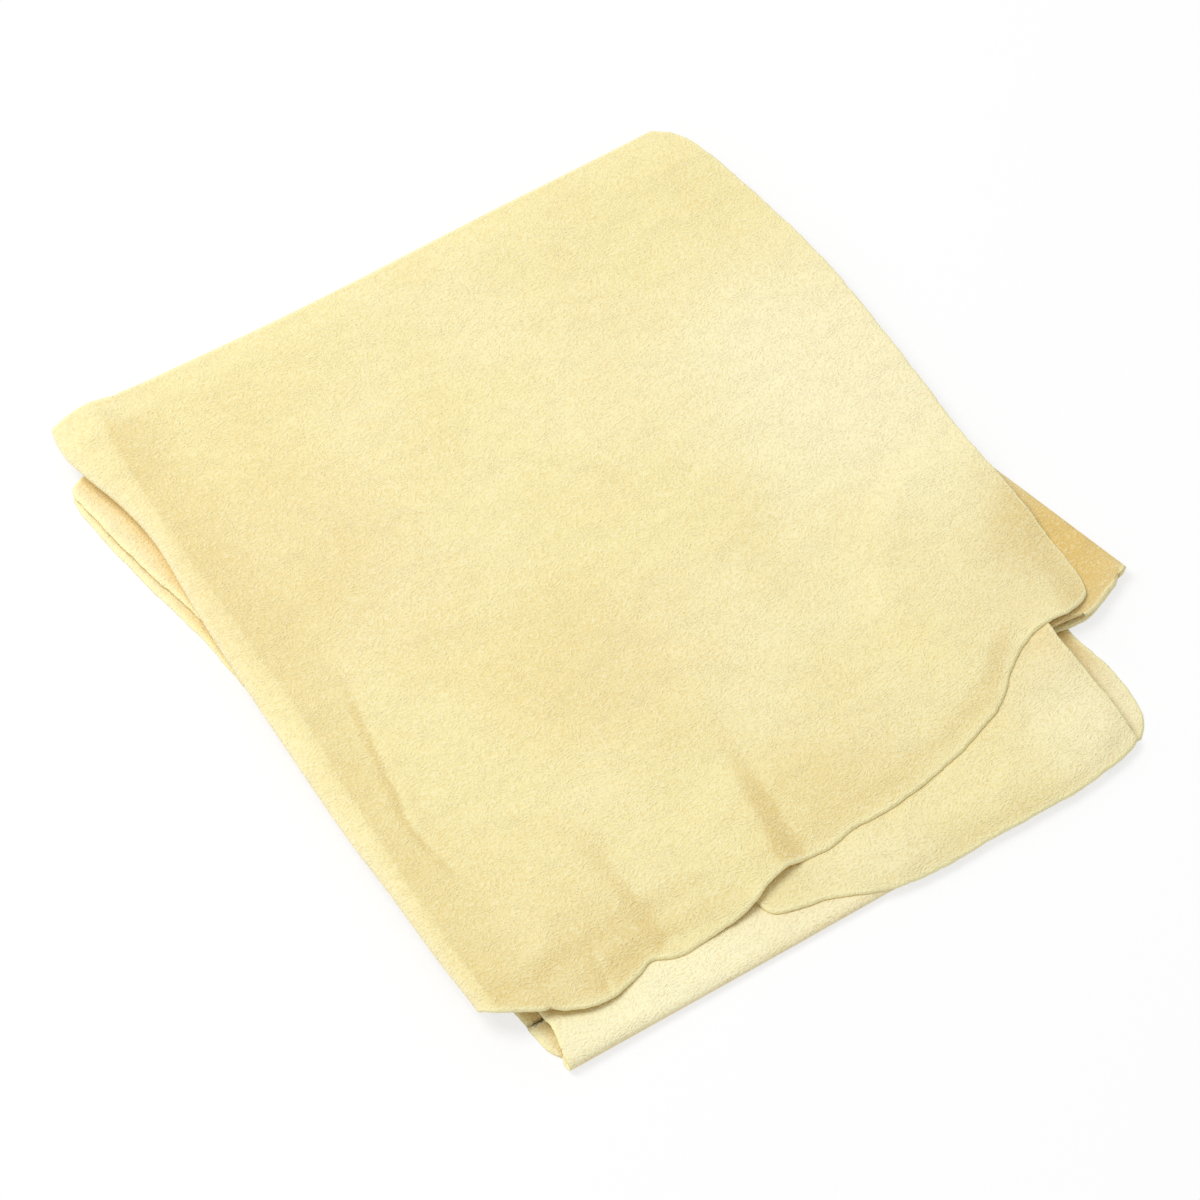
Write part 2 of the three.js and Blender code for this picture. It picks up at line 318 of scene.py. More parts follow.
def chamois_outlines() -> Outlines:
    """Draws the outlines of the skin as it lies folded.

    Returns:
        Every edge that the panels and folds use.
    """
    return Outlines(
        ridge=Edge.smooth(
            (0.066, 0.04), (0.0585, 0.2), (0.06, 0.36), (0.066, 0.5), (0.064, 0.6), (0.062, 0.7), (0.06, 0.8),
            (0.064, 0.9), (0.072, 1.0),
        ),
        roll_side=Edge.smooth(
            (0.05, 0.06), (0.044, 0.16), (0.041, 0.26), (0.036, 0.37), (0.036, 0.6), (0.039, 0.7),
            (0.043, 0.79), (0.034, 0.855), (0.0165, 0.91), (0.009, 0.945), (0.0165, 0.99),
        ),
        top_left=Edge.straight((0.118, 0.062), (0.096, 0.975)),
        top_near=Edge.through(
            (0.118, 0.062), (0.141, 0.053), (0.163, 0.047), (0.184, 0.046), (0.207, 0.052), (0.231, 0.06),
            (0.25, 0.066), (0.277, 0.057), (0.319, 0.059), (0.363, 0.064), (0.385, 0.069), (0.415, 0.08),
            (0.438, 0.085), (0.466, 0.086), (0.499, 0.086), (0.528, 0.092), (0.556, 0.093), (0.586, 0.094),
            (0.618, 0.099), (0.652, 0.106), (0.686, 0.114), (0.718, 0.125), (0.751, 0.137), (0.777, 0.153),
            (0.799, 0.172), (0.826, 0.19), (0.852, 0.199), (0.875, 0.202), (0.899, 0.202), (0.921, 0.207),
            (0.935, 0.217), (0.941, 0.232),
        ),
        top_right=Edge.through(
            (0.941, 0.232), (0.943, 0.254), (0.941, 0.346), (0.934, 0.437), (0.937, 0.535), (0.938, 0.666),
            (0.936, 0.733), (0.928, 0.804), (0.915, 0.878), (0.897, 0.953), (0.882, 0.984), (0.862, 1.001),
        ),
        top_far=Edge.smooth((0.096, 0.975), (0.236, 0.977), (0.354, 0.98), (0.578, 0.99), (0.862, 1.001)),
        middle_left=Edge.straight((0.1165, 0.078), (0.097, 0.956)),
        middle_near=Edge.through(
            (0.1165, 0.078), (0.2, 0.09), (0.3, 0.098), (0.365, 0.093), (0.39, 0.075), (0.393, 0.06),
            (0.399, 0.051), (0.412, 0.046), (0.432, 0.042), (0.46, 0.037), (0.482, 0.03), (0.524, 0.0155),
            (0.56, 0.011), (0.6, 0.0095), (0.65, 0.0125), (0.736, 0.0145), (0.79, 0.017), (0.83, 0.023),
            (0.865, 0.031), (0.877, 0.039),
        ),
        middle_right=Edge.through(
            (0.877, 0.039), (0.877, 0.1), (0.87, 0.2), (0.884, 0.28), (0.894, 0.345), (0.905, 0.395),
            (0.922, 0.45), (0.93, 0.56), (0.926, 0.7), (0.908, 0.85), (0.876, 0.94), (0.827, 0.97),
        ),
        middle_far_free=Edge.straight((0.097, 0.956), (0.2, 0.9585)),
        far_fold=Edge.straight((0.2, 0.9585), (0.827, 0.97)),
        lower_left=Edge.through(
            (0.104, 0.0185), (0.111, 0.033), (0.113, 0.055), (0.11, 0.075), (0.104, 0.21), (0.085, 0.42),
            (0.06, 0.6), (0.042, 0.692), (0.024, 0.763), (0.011, 0.829), (0.003, 0.88), (0.0, 0.894),
            (0.004, 0.905), (0.018, 0.912),
        ),
        lower_near=Edge.straight((0.104, 0.0185), (0.823, 0.0425)),
        lower_far_free=Edge.through((0.018, 0.912), (0.07, 0.921), (0.136, 0.943), (0.2, 0.9585)),
        lower_right_near=Edge.through(
            (0.823, 0.0425), (0.856, 0.052), (0.868, 0.085), (0.868, 0.15), (0.858, 0.207),
        ),
        lower_leg_end=Edge.through(
            (0.858, 0.207), (0.882, 0.206), (0.9, 0.201), (0.918, 0.1945), (0.94, 0.2), (0.9615, 0.2095),
            (0.9865, 0.2205),
        ),
        leg_fold=Edge.straight((0.9865, 0.2205), (0.931, 0.412)),
        lower_right_far=Edge.through(
            (0.931, 0.412), (0.922, 0.56), (0.916, 0.78), (0.88, 0.93), (0.827, 0.97),
        ),
        bottom_left=Edge.through(
            (0.104, 0.0185), (0.098, 0.034), (0.093, 0.064), (0.091, 0.093), (0.066, 0.36), (0.041, 0.61),
            (0.032, 0.676), (0.017, 0.745), (0.005, 0.814), (-0.002, 0.87), (0.0, 0.897), (0.012, 0.907),
        ),
        bottom_near_free=Edge.straight((0.823, 0.0425), (0.885, 0.041)),
        bottom_right=Edge.through(
            (0.885, 0.041), (0.9, 0.056), (0.906, 0.075), (0.909, 0.1), (0.908, 0.13), (0.902, 0.16),
            (0.896, 0.197), (0.88, 0.33), (0.86, 0.64), (0.832, 0.912),
        ),
        bottom_far=Edge.through((0.012, 0.907), (0.19, 0.926), (0.5, 0.94), (0.832, 0.912)),
        flap_left=Edge.through((0.86, 0.2), (0.832, 0.29), (0.81, 0.385)),
        flap_near=Edge.through(
            (0.86, 0.2), (0.892, 0.197), (0.908, 0.1955), (0.932, 0.1975), (0.9615, 0.21), (0.9865, 0.2205),
        ),
        flap_far=Edge.straight((0.81, 0.385), (0.931, 0.412)),
    )


@dataclass(frozen=True)
class Lie:
    """How the layers lie: the height of the middle of each one over the plan, in millimetres."""

    outlines: Outlines
    skin: float = 1.2
    least_air: float = 0.1
    pitch: float = 2.1
    floor_wave: float = 0.25
    near_fold_line: float = 0.022
    near_lift: float = 0.6
    near_lift_reach: float = 40.0
    far_fold_line: float = 0.96
    far_lift: float = 1.5
    far_lift_reach: float = 45.0
    corner: Place = (0.1, 0.06)
    corner_lift: float = 1.8
    corner_lift_reach: float = 45.0
    hollow: Place = (0.893, 0.2)
    leg_lift: float = 2.6
    leg_lift_reach: float = 14.0
    flap_middle: Place = (0.895, 0.29)
    flap_spread: float = 45.0
    flap_rim: Span = (0.08, 0.3)
    drop_share: float = 0.45
    drop_reach: Span = (-4.0, 16.0)
    drop_end: Span = (0.15, 0.21)
    drop_air: float = 0.5
    overhang_droop: float = 1.2
    overhang_reach: Span = (1.5, 11.0)
    air: float = 0.8
    air_start: float = -4.0
    edge_wave_middle: float = 0.63
    edge_wave_length: float = 46.0
    edge_reach: Span = (13.3, 38.0)
    settle: float = 0.8
    settle_reach: float = 14.0
    settle_from_roll: Span = (25.0, 55.0)
    ease: float = 0.9
    drape: float = 0.5
    free_reach: float = 40.0
    droop: float = 14.0
    droop_end: float = 2.0
    leg_side: Span = (0.27, 0.47)
    leg_side_droop: float = 0.95
    leg_side_start: float = 12.0
    leg_side_least: float = 6.0
    leg_side_bend: float = 1.7
    far_side_hold: float = 60.0
    far_droop: float = 1.2
    far_droop_reach: float = 14.0
    roll_ends: Span = (0.083, 0.97)
    roll_loft: float = 2.0
    roll_loft_reach: float = 80.0
    roll_loft_near_share: float = 0.6
    roll_hold: Span = (30.0, 60.0)
    roll_crest: float = 2.4
    roll_crest_reach: float = 24.0
    roll_crest_bend: float = 1.5
    bulge: float = 2.7
    bulge_sides: Span = (0.253, 0.445)
    bulge_start: Span = (0.2, 0.1)
    bulge_start_reach: float = 35.0
    bulge_crown: float = 0.95
    bulge_foot: float = 1.12
    bulge_foot_way: float = 0.0013
    bulge_foot_reach: float = 0.19
    bulge_near: float = 0.09
    bulge_fade: Span = (0.1, 0.32)

    creases: tuple[Crease, ...] = (
        Crease(((0.264, 0.25), (0.268, 0.2), (0.274, 0.144), (0.28, 0.062)), -1.1, 9.0, 5.0, 40.0, 2.0),
        Crease(((0.193, 0.113), (0.187, 0.05)), -0.4, 1.8, 1.4, 10.0, 2.0),
        Crease(((0.29, 0.5), (0.312, 0.395), (0.357, 0.3), (0.42, 0.2)), 2.0, 30.0, 22.0, 45.0, 35.0),
        Crease(
            ((0.14, 0.546), (0.122, 0.44), (0.101, 0.325), (0.105, 0.288), (0.118, 0.235)),
            -0.45, 2.2, 1.8, 30.0, 12.0,
        ),
    )

    @staticmethod
    def _along(share: float) -> float:
        """Gives a share of the packet's length as a place along it."""
        return float(PACKET.spot(0.0, share)[1])

    @staticmethod
    def _across(share: float) -> float:
        """Gives a share of the packet's width as a place across it."""
        return float(PACKET.spot(share, 0.0)[0])

    def bottom(self, x: np.ndarray, y: np.ndarray) -> np.ndarray:
        """Gives the height of the layer on the floor."""
        wave = np.sin(x / 17.0 + y / 29.0) * np.cos(y / 23.0 - x / 41.0)
        return self.skin / 2 + self.floor_wave * (1.0 + wave) / 2

    def flap(self, x: np.ndarray, y: np.ndarray) -> np.ndarray:
        """Gives the height of the leg's end, which is turned under."""
        return self.bottom(x, y) + self.pitch

    def lower(self, x: np.ndarray, y: np.ndarray) -> np.ndarray:
        """Gives the height of the second layer, which the leg belongs to."""
        near = self._along(self.near_fold_line)
        over_flap = rise(hill(x, y, PACKET.spot(*self.flap_middle), self.flap_spread), *self.flap_rim)
        beside_fold = 1.0 - rise(y, near, near + self.near_lift_reach)
        at_corner = hill(x, y, PACKET.spot(*self.corner), self.corner_lift_reach)
        at_hollow = hill(x, y, PACKET.spot(*self.hollow), self.leg_lift_reach)
        height = self.bottom(x, y) + self.pitch * (1.0 + over_flap) + self.near_lift * beside_fold
        return height + self.corner_lift * at_corner + self.leg_lift * at_hollow

    def middle(self, x: np.ndarray, y: np.ndarray) -> np.ndarray:
        """Gives the height of the third layer, which drops to the first one past the end of the second."""
        past = x - self.outlines.lower_right_near.across_at(y)
        before_leg = 1.0 - rise(y, *map(self._along, self.drop_end))
        dropped = self.drop_share * rise(past, *self.drop_reach) * before_leg
        overhang = self.outlines.lower_near.along_at(x) - y
        on_lower = self.lower(x, y) + self.pitch + self._middle_extra(x, y)
        hanging = on_lower - self.overhang_droop * rise(overhang, *self.overhang_reach)
        on_bottom = self.bottom(x, y) + self.skin + self.drop_air
        return hanging + dropped * (on_bottom - hanging)

    def _middle_extra(self, x: np.ndarray, y: np.ndarray) -> np.ndarray:
        """Gives how far the third layer stands off the second one beyond the plain step."""
        far = self._along(self.far_fold_line)
        beside_fold = self.far_lift * rise(y, far - self.far_lift_reach, far)
        from_edge = y - self.outlines.middle_near.along_at(x)
        turn = 2 * math.pi * (x - self._across(self.edge_wave_middle)) / self.edge_wave_length
        least, most = self.edge_reach
        reach = least + (most - least) * (1.0 + np.cos(turn)) / 2
        settled = self.settle * (1.0 - rise(from_edge, 0.0, self.settle_reach))
        return beside_fold + self.air * rise(from_edge, self.air_start, reach) - settled

    def top(self, x: np.ndarray, y: np.ndarray) -> np.ndarray:
        """Gives the height of the top flap, which drapes over the layers under it.

        Args:
            x: Places across.
            y: Places along.

        Returns:
            The height at each place, clear of the layer below it.
        """
        lines = self.outlines
        from_near = y - lines.middle_near.along_at(x)
        past_right = x - lines.middle_right.across_at(y)
        from_side = lines.top_right.across_at(y) - x
        beside_leg = 1.0 - rise(y, *map(self._along, self.leg_side))
        from_edge = y - lines.top_near.along_at(x)
        from_edge = np.minimum(from_edge, from_side + self.far_side_hold * (1.0 - beside_leg))
        from_roll = x - lines.ridge.across_at(y)

        reach = np.maximum(from_side + past_right, self.leg_side_least) + self.leg_side_start
        past = np.clip((past_right + self.leg_side_start) / reach, 0.0, 1.0) ** self.leg_side_bend
        carried = rise(from_near, -self.droop, self.droop_end)
        carried = carried * (1.0 - self.leg_side_droop * beside_leg * past)
        height = self.lower(x, y) + self.pitch + (self.pitch + self._middle_extra(x, y)) * carried

        loft = self._loft(y, from_roll)
        held = 1.0 - rise(from_roll, *self.roll_hold)
        free = rise(from_edge, 0.0, self.free_reach)
        crest = np.clip(1.0 - from_roll / self.roll_crest_reach, 0.0, 1.0) ** self.roll_crest_bend
        height = height + loft * held + (loft * (1.0 - held) + self.ease + self._waves(x, y)) * free
        height = height + self.roll_crest * crest + self._bulge(x, y)
        for crease in self.creases:
            height = height + crease(x, y)

        far_edge = lines.top_far.along_at(x)
        settled = (1.0 - rise(from_edge, 0.0, self.settle_reach)) * rise(from_roll, *self.settle_from_roll)
        height = height - self.far_droop * rise(y, far_edge - self.far_droop_reach, far_edge)
        height = height - self.settle * settled
        over_middle = (past_right < 0.0) & (from_near > 0.0)
        bed = np.where(over_middle, self.middle(x, y), self.lower(x, y))
        return np.maximum(height, bed + self.skin + self.least_air)

    def _loft(self, y: np.ndarray, from_roll: np.ndarray) -> np.ndarray:
        """Gives how far the roll at the left holds the top flap up."""
        near, far = map(self._along, self.roll_ends)
        near_share = self.roll_loft_near_share
        share = near_share + (1.0 - near_share) * rise(y, near, (near + far) / 2)
        return self.roll_loft * share * np.exp(-((from_roll / self.roll_loft_reach) ** 2))

    def _bulge(self, x: np.ndarray, y: np.ndarray) -> np.ndarray:
        """Gives the arch in which the top flap goes over the rounded end of the third layer."""
        left, right = map(self._across, self.bulge_sides)
        across = (x - left) / (right - left)
        foot = self.bulge_foot + self.bulge_foot_way * (y - self._along(self.bulge_near))
        from_near = y - self.outlines.top_near.along_at(x)
        at_edge, inside = self.bulge_start
        start = at_edge + (inside - at_edge) * rise(from_near, 0.0, self.bulge_start_reach)
        falling = 1.0 - rise(across, foot - self.bulge_foot_reach, foot)
        fading = 1.0 - rise(y, *map(self._along, self.bulge_fade))
        return self.bulge * rise(across, start, self.bulge_crown) * falling * fading

    def _waves(self, x: np.ndarray, y: np.ndarray) -> np.ndarray:
        """Gives the broad unevenness of the top flap."""
        broad = np.sin(x / 31.0 + y / 53.0 + 0.6) * np.cos(y / 37.0 - x / 67.0)
        small = np.sin(x / 13.0 - y / 19.0) * np.sin(y / 15.0 + x / 29.0 + 1.0)
        return self.drape * (1.0 + 0.75 * broad + 0.25 * small) / 2


class Side(Enum):
    """The four sides of a grid of points."""

    NEAR = 0
    RIGHT = 1
    FAR = 2
    LEFT = 3


class Grid:
    """The middle surface of a piece of skin, as rows of points with the direction square to each."""

    def __init__(self, rows: np.ndarray) -> None:
        """Keeps the points.

        Args:
            rows: Points by row, place in the row, and x, y, z.
        """
        self.rows = rows
        across = np.gradient(rows, axis=1)
        along = np.gradient(rows, axis=0)
        self.facing = unit(np.cross(across, along))

    @classmethod
    def stretched(
        cls, near: np.ndarray, right: np.ndarray, far: np.ndarray, left: np.ndarray, height: Height
    ) -> "Grid":
        """Stretches a patch between four divided edges and lays it at a height.

        Args:
            near: Points from left to right.
            right: Points from near to far.
            far: Points from left to right.
            left: Points from near to far.
            height: The layer's height over the plan.

        Returns:
            The patch.
        """
        u = np.linspace(0.0, 1.0, len(near))[None, :, None]
        v = np.linspace(0.0, 1.0, len(left))[:, None, None]
        plan = (1 - v) * near[None] + v * far[None] + (1 - u) * left[:, None] + u * right[:, None]
        plan -= (1 - u) * ((1 - v) * near[0] + v * far[0]) + u * ((1 - v) * near[-1] + v * far[-1])
        x, y = plan[..., 0], plan[..., 1]
        return cls(np.stack([x, y, height(x, y)], axis=-1))


def share_facing(one: np.ndarray, other: np.ndarray) -> None:
    """Gives the points of one line in two grids the same direction, so that their skins meet.

    Args:
        one: Directions in the first grid, which are changed.
        other: Directions in the second grid, which are changed.
    """
    turn = np.sign((one * other).sum(axis=-1, keepdims=True))
    mean = unit(one + turn * other)
    one[...] = mean
    other[...] = turn * mean


class Skin:
    """A closed skin of even thickness around a grid, with a rounded rim where the leather is cut."""

    CUT_EDGE = "cut_edge"
    RIM = ((0.6, 0.8), (1.2, 0.3), (1.6, -0.25), (1.75, -0.8))
    RIM_START = 3
    FLAT = 0.01

    def __init__(self, name: str, grid: Grid, thickness: float, joined: dict[Side, slice]) -> None:
        """Keeps what the skin is made from.

        Args:
            name: The piece's name.
            grid: Its middle surface.
            thickness: In millimetres.
            joined: The stretch of each side that goes on in another piece.
        """
        self.name = name
        self.grid = grid
        self.thickness = thickness
        self.joined = joined

    def _loop(self) -> tuple[np.ndarray, np.ndarray]:
        """Walks round the grid.

        Returns:
            The index of each point of its border, and how round the rim is there.
        """
        rows, columns = self.grid.rows.shape[:2]
        index = np.arange(rows * columns).reshape(rows, columns)
        sides = {
            Side.NEAR: index[0],
            Side.RIGHT: index[:, -1],
            Side.FAR: index[-1],
            Side.LEFT: index[:, 0],
        }
        tied = np.zeros(rows * columns, bool)
        for side, stretch in self.joined.items():
            tied[sides[side][stretch]] = True
        loop = np.concatenate(
            [sides[Side.NEAR][:-1], sides[Side.RIGHT][:-1], sides[Side.FAR][:0:-1], sides[Side.LEFT][:0:-1]]
        )
        free = ~tied[loop]
        away = np.where(free, float(self.RIM_START), 0.0)
        for _ in range(self.RIM_START):
            away = np.minimum(away, np.minimum(np.roll(away, 1), np.roll(away, -1)) + 1.0)
        return loop, np.sin(away / self.RIM_START * math.pi / 2)

    def mesh(self) -> bpy.types.Mesh:
        """Makes the closed mesh.

        Returns:
            The mesh, in metres, smooth but for the caps where it is joined.
        """
        points = self.grid.rows.reshape(-1, 3)
        facing = self.grid.facing.reshape(-1, 3)
        rows, columns = self.grid.rows.shape[:2]
        half = self.thickness / 2
        loop, roundness = self._loop()
        way = unit(np.roll(points[loop], -1, axis=0) - np.roll(points[loop], 1, axis=0))
        outward = unit(np.cross(way, facing[loop])) * roundness[:, None]
        layers = [points + facing * half, points - facing * half]
        for out, up in self.RIM:
            layers.append(points[loop] + half * (up * facing[loop] + out * outward))
        verts = PACKET.to_frame(np.vstack(layers))

        index = np.arange(rows * columns).reshape(rows, columns)
        quads = np.stack([index[:-1, :-1], index[:-1, 1:], index[1:, 1:], index[1:, :-1]], axis=-1)
        quads = quads.reshape(-1, 4)
        count = rows * columns
        rings = [loop]
        rings += [2 * count + k * len(loop) + np.arange(len(loop)) for k in range(len(self.RIM))]
        rings.append(loop + count)
        faces = [quads, quads[:, ::-1] + count]
        for upper, lower in zip(rings, rings[1:]):
            faces.append(np.stack([upper, lower, np.roll(lower, -1), np.roll(upper, -1)], axis=-1))

        mesh = bpy.data.meshes.new(self.name)
        mesh.from_pydata(verts.tolist(), [], np.vstack(faces).tolist())
        mesh.update()
        mesh.shade_smooth()
        cut = np.zeros(len(verts), np.float32)
        cut[loop] = cut[loop + count] = roundness
        cut[2 * count:] = np.tile(roundness, len(self.RIM))
        mesh.attributes.new(self.CUT_EDGE, "FLOAT", "POINT").data.foreach_set("value", cut)
        tied = (roundness < self.FLAT) & (np.roll(roundness, -1) < self.FLAT)
        starts, ends = loop[tied], np.roll(loop, -1)[tied]
        self._mark_caps(mesh, np.append(starts, starts + count), np.append(ends, ends + count))
        return mesh

    @staticmethod
    def _mark_caps(mesh: bpy.types.Mesh, starts: np.ndarray, ends: np.ndarray) -> None:
        """Makes the edges round a cap sharp, so that the skin's shading doesn't turn into the cap.

        Args:
            mesh: The mesh that is changed.
            starts: First vertex of each edge.
            ends: Second vertex of each edge.
        """
        pairs = np.empty(2 * len(mesh.edges), np.int32)
        mesh.edges.foreach_get("vertices", pairs)
        pairs = np.sort(pairs.reshape(-1, 2).astype(np.int64), axis=1)
        size = len(mesh.vertices)
        wanted = np.sort(np.stack([starts, ends], axis=1).astype(np.int64), axis=1)
        sharp = np.isin(pairs[:, 0] * size + pairs[:, 1], wanted[:, 0] * size + wanted[:, 1])
        attribute = mesh.attributes.get("sharp_edge") or mesh.attributes.new("sharp_edge", "BOOLEAN", "EDGE")
        attribute.data.foreach_set("value", sharp)


@dataclass(frozen=True)
class Bend:
    """How a fold goes round, in millimetres: one size for all of it, or one for each point of its seam."""

    depth: np.ndarray | float
    run: np.ndarray | float
    skew: np.ndarray | float = 0.0
    tip: float = 0.5
    lower: Span = (0.75, 0.6)
    upper: Span = (0.75, 0.6)
    cells: int = 21
    run_cells: int = 1


def laid(seam: np.ndarray, outward: np.ndarray, out: np.ndarray, height: Height) -> np.ndarray:
    """Carries a layer on past its seam.

    Args:
        seam: Points of the seam.
        outward: The way out of each one, in plan.
        out: How far out its points lie, by row.
        height: The layer's height.

    Returns:
        Rows of points, one for each point of the seam.
    """
    plan = seam[:, None] + outward[:, None] * out[..., None]
    return np.concatenate([plan, height(plan[..., 0], plan[..., 1])[..., None]], axis=-1)


def quarter(edge: np.ndarray, tip: np.ndarray, slope: np.ndarray, fullness: Span, cells: int) -> np.ndarray:
    """Curves from the edge of a layer to the tip of its fold.

    Args:
        edge: The layer's last points.
        tip: The fold's outermost points.
        slope: The way in which the layer runs into the curve.
        fullness: How far the curve keeps to the layer, and to the upright at its tip.
        cells: Cells along the curve.

    Returns:
        Rows of points from edge to tip.
    """
    reach = np.linalg.norm((tip - edge)[:, :2], axis=1, keepdims=True)
    leave = edge + slope * reach * fullness[0]
    arrive = tip.copy()
    arrive[:, 2] += fullness[1] * (edge[:, 2] - tip[:, 2])
    t = np.linspace(0.0, 1.0, cells + 1)[None, :, None]
    first = (1 - t) ** 3 * edge[:, None] + 3 * (1 - t) ** 2 * t * leave[:, None]
    return first + 3 * (1 - t) * t**2 * arrive[:, None] + t**3 * tip[:, None]


def folded(
    lower_seam: np.ndarray,
    upper_seam: np.ndarray,
    outward: np.ndarray,
    bend: Bend,
    lower: Height,
    upper: Height,
) -> Grid:
    """Carries one layer on from its seam, round a bend and into the layer above it.

    Args:
        lower_seam: Points of the lower layer's seam.
        upper_seam: Points of the upper layer's seam, one for one.
        outward: The way in which the fold stands out, in plan.
        bend: How it goes round.
        lower: Height of the lower layer.
        upper: Height of the upper layer.

    Returns:
        The fold's middle surface, with a row for each point of the seams.
    """
    depth, run, skew = (np.broadcast_to(size, len(lower_seam)) for size in (bend.depth, bend.run, bend.skew))
    outward = outward + skew[:, None] * unit(lower_seam[-1] - lower_seam[0])
    steps = run[:, None] * np.linspace(0.0, 1.0, bend.run_cells + 1)
    below = laid(lower_seam, outward, steps, lower)
    above = laid(upper_seam, outward, steps[:, ::-1], upper)
    start, end = below[:, -1], above[:, 0]
    tip = (lower_seam + upper_seam) / 2 + outward * depth[:, None]
    tip_height = start[:, 2] + bend.tip * (end[:, 2] - start[:, 2])
    tip = np.concatenate([tip, tip_height[:, None]], axis=1)
    low = quarter(start, tip, unit(start - below[:, -2]), bend.lower, bend.cells)
    high = quarter(end, tip, unit(end - above[:, 1]), bend.upper, bend.cells)
    return Grid(np.concatenate([below, low[:, 1:], high[:, -2::-1], above[:, 1:]], axis=1))


@dataclass(frozen=True)
class Crossing:
    """A fold between two bodies, and how its bend would lie.

    The lower run would stay with one body and the upper run with the other, with the bend between them up to
    a share of the way. The bend's axis is worked out but not used: the fold is not tied to either body, and
    from_top changes nothing.
    """

    lower_body: str
    upper_body: str
    run_points: int = 2
    share: float = 1.0
    from_top: bool = False

    def bend(self, piece: bpy.types.Object, grid: Grid, skin: float) -> None:
        """Works out where the fold's bend would lie, which is not used, and bakes the piece's place into its
        mesh.

        Args:
            piece: The fold.
            grid: Its middle surface.
            skin: Its thickness.
        """
        rows = grid.rows
        way = unit(rows[-1, 0, :2] - rows[0, 0, :2])
        place = rows[:, 0, :2] @ way
        below = rows[:, :self.run_points, 2].max(axis=1) + skin / 2
        above = rows[:, -self.run_points:, 2].min(axis=1) - skin / 2
        slope = (below[-1] - below[0]) / (place[-1] - place[0])
        low = (below - slope * place).max()
        depth = self.share * ((above - slope * place).min() - low)
        upward = np.array([*(-slope * way), 1.0])
        foot = np.array([0.0, 0.0, low])
        head = foot + upward * depth / (upward @ upward)
        foot, head = (tuple(spot) for spot in PACKET.to_frame(np.array([foot, head])))
        if self.from_top:
            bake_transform(piece)
        else:
            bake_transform(piece)


class Socket:
    """A value in a material's nodes, with sums on it written as Python expressions."""

    def __init__(self, shader: "Shader", socket: bpy.types.NodeSocket) -> None:
        """Keeps the socket and the shader that it belongs to."""
        self.shader = shader
        self.socket = socket

    def _math(self, operation: str, first: "Socket | float", second: "Socket | float") -> "Socket":
        """Adds a Math node for an operation on two values."""
        return self.shader.node("ShaderNodeMath", {"operation": operation}, {0: first, 1: second})[0]

    def __add__(self, other: "Socket | float") -> "Socket":
        """Adds."""
        return self._math("ADD", self, other)

    def __radd__(self, other: "Socket | float") -> "Socket":
        """Adds, from the right."""
        return self._math("ADD", other, self)

    def __sub__(self, other: "Socket | float") -> "Socket":
        """Takes away."""
        return self._math("SUBTRACT", self, other)

    def __rsub__(self, other: "Socket | float") -> "Socket":
        """Takes away, from the right."""
        return self._math("SUBTRACT", other, self)

    def __mul__(self, other: "Socket | float") -> "Socket":
        """Multiplies."""
        return self._math("MULTIPLY", self, other)

    def __rmul__(self, other: "Socket | float") -> "Socket":
        """Multiplies, from the right."""
        return self._math("MULTIPLY", other, self)

    def __gt__(self, other: "Socket | float") -> "Socket":
        """Gives 1 where it is greater."""
        return self._math("GREATER_THAN", self, other)

    def smallest(self, other: "Socket | float") -> "Socket":
        """Gives the smaller of two values."""
        return self._math("MINIMUM", self, other)

    def largest(self, other: "Socket | float") -> "Socket":
        """Gives the larger of two values."""
        return self._math("MAXIMUM", self, other)

    def ramp(self, start: float, end: float) -> "Socket":
        """Gives 0 up to start, 1 from end on, and a smooth change between."""
        values = {"Value": self, "From Min": start, "From Max": end, "To Min": 0.0, "To Max": 1.0}
        return self.shader.node("ShaderNodeMapRange", {"interpolation_type": "SMOOTHSTEP"}, values)[0]


class Shader:
    """The nodes of a material or a world."""

    def __init__(self, owner: bpy.types.Material | bpy.types.World) -> None:
        """Clears the owner's nodes.

        Args:
            owner: What the nodes belong to.
        """
        owner.use_nodes = True
        self.tree = owner.node_tree
        self.tree.nodes.clear()

    def node(self, kind: str, settings: dict[str, object], values: dict[str | int, object]) -> list[Socket]:
        """Adds a node.

        Args:
            kind: The node's type.
            settings: Its settings, which are set first.
            values: The value or link of each socket, by name or number.

        Returns:
            Its outputs.
        """
        made = self.tree.nodes.new(kind)
        for name, value in settings.items():
            setattr(made, name, value)
        for name, value in values.items():
            if isinstance(value, Socket):
                self.tree.links.new(value.socket, made.inputs[name])
            else:
                made.inputs[name].default_value = value
        return [Socket(self, output) for output in made.outputs]

    def mix(self, factor: Socket | float, first: Socket | Colour, second: Colour) -> Socket:
        """Mixes two colours.

        Args:
            factor: Share of the second one.
            first: A colour or a link.
            second: A colour.

        Returns:
            The mixed colour.
        """
        first = first if isinstance(first, Socket) else (*first, 1.0)
        values = {0: factor, 6: first, 7: (*second, 1.0)}
        return self.node("ShaderNodeMix", {"data_type": "RGBA"}, values)[2]

    def vector(self, operation: str, first: Socket, second: Colour) -> Socket:
        """Gives the value of a sum on two vectors."""
        return self.node("ShaderNodeVectorMath", {"operation": operation}, {0: first, 1: second})[1]

    def noise(self, place: Socket, scale: float, detail: float, roughness: float = 0.5) -> Socket:
        """Gives cloudy noise.

        Args:
            place: Where it is asked for.
            scale: Clouds in a metre.
            detail: How many finer layers it has.
            roughness: How strong these are.

        Returns:
            A value about a half.
        """
        values = {"Vector": place, "Scale": scale, "Detail": detail, "Roughness": roughness}
        return self.node("ShaderNodeTexNoise", {}, values)[0]


@dataclass(frozen=True)
class Patch:
    """A soft patch of another colour: its middle and reach in metres, and its share of that colour."""

    place: tuple[float, float, float]
    reach: float
    share: float
    colour: Colour


